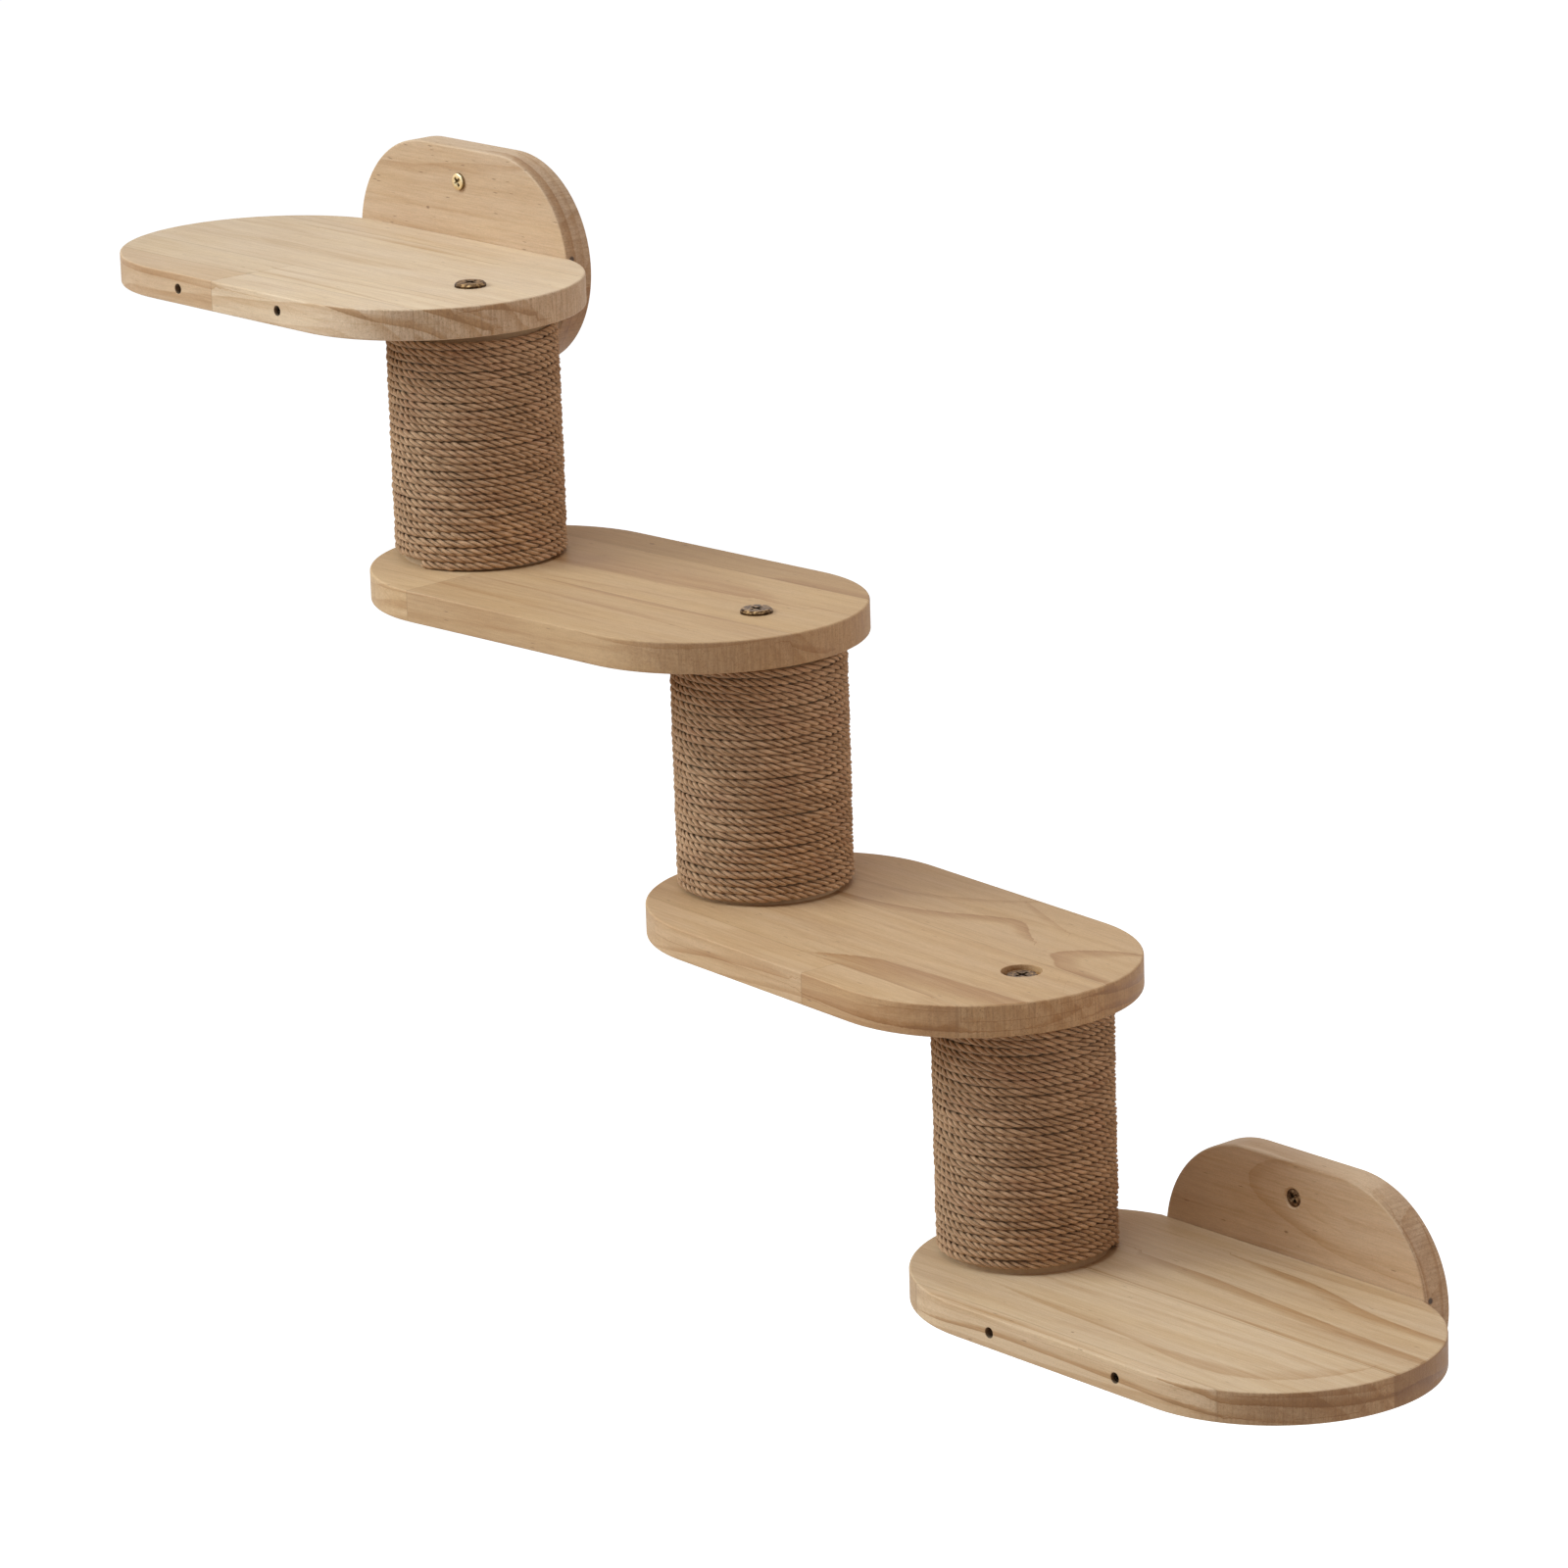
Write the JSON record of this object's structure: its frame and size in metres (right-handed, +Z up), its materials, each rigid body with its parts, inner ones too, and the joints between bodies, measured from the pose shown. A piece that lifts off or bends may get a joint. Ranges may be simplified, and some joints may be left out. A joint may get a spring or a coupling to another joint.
{
  "type": "wall-mounted cat stair",
  "caption": "Wall-mounted cat stair: round-ended pine steps spaced by jute-wound scratching posts, bolted through, with the end steps screwed to round-ended wall plates.",
  "frame": {"origin": "centre of the upper wall plate's back face, in the wall plane, midway between its two wall screws", "axes": "+Z is up, +Y goes into the wall that carries the stair, and +X runs along the wall down the stair"},
  "size_m": [0.9916, 0.224, 0.5845],
  "materials": {
    "pine": "sanded pine panel under a clear matt oil",
    "pine_plate": "sanded pine panel, a little browner",
    "plug_wood": "raw turned softwood",
    "tube_cardboard": "spiral-wound brown board",
    "jute_rope": "laid jute cord, matt and hairy",
    "antique_bronze": "antique bronze plating on steel, satin",
    "yellow_brass": "bright yellow",
    "dark_steel": "black phosphate on steel",
    "zinc_steel": "zinc plated"
  },
  "bodies": {
    "root": {"step_1": "pine", "step_2": "pine", "step_3": "pine", "step_4": "pine", "upper_wall_plate": "pine_plate", "lower_wall_plate": "pine_plate", "post_1_tube": "tube_cardboard", "post_2_tube": "tube_cardboard", "post_3_tube": "tube_cardboard", "post_1_rope": "jute_rope", "post_2_rope": "jute_rope", "post_3_rope": "jute_rope", "post_1_top_plug": "plug_wood", "post_2_top_plug": "plug_wood", "post_3_top_plug": "plug_wood", "post_1_bottom_plug": "plug_wood", "post_2_bottom_plug": "plug_wood", "post_3_bottom_plug": "plug_wood", "post_1_top_tee_nut": "zinc_steel", "post_2_top_tee_nut": "zinc_steel", "post_3_top_tee_nut": "zinc_steel", "post_1_bottom_tee_nut": "zinc_steel", "post_2_bottom_tee_nut": "zinc_steel", "post_3_bottom_tee_nut": "zinc_steel", "post_1_top_bolt": "antique_bronze", "post_2_top_bolt": "antique_bronze", "post_3_top_bolt": "antique_bronze", "post_1_bottom_bolt": "antique_bronze", "post_2_bottom_bolt": "antique_bronze", "post_3_bottom_bolt": "antique_bronze", "upper_wall_screws": "yellow_brass", "lower_wall_screws": "antique_bronze", "upper_edge_screws": "dark_steel", "lower_edge_screws": "dark_steel"}
  },
  "joints": []
}
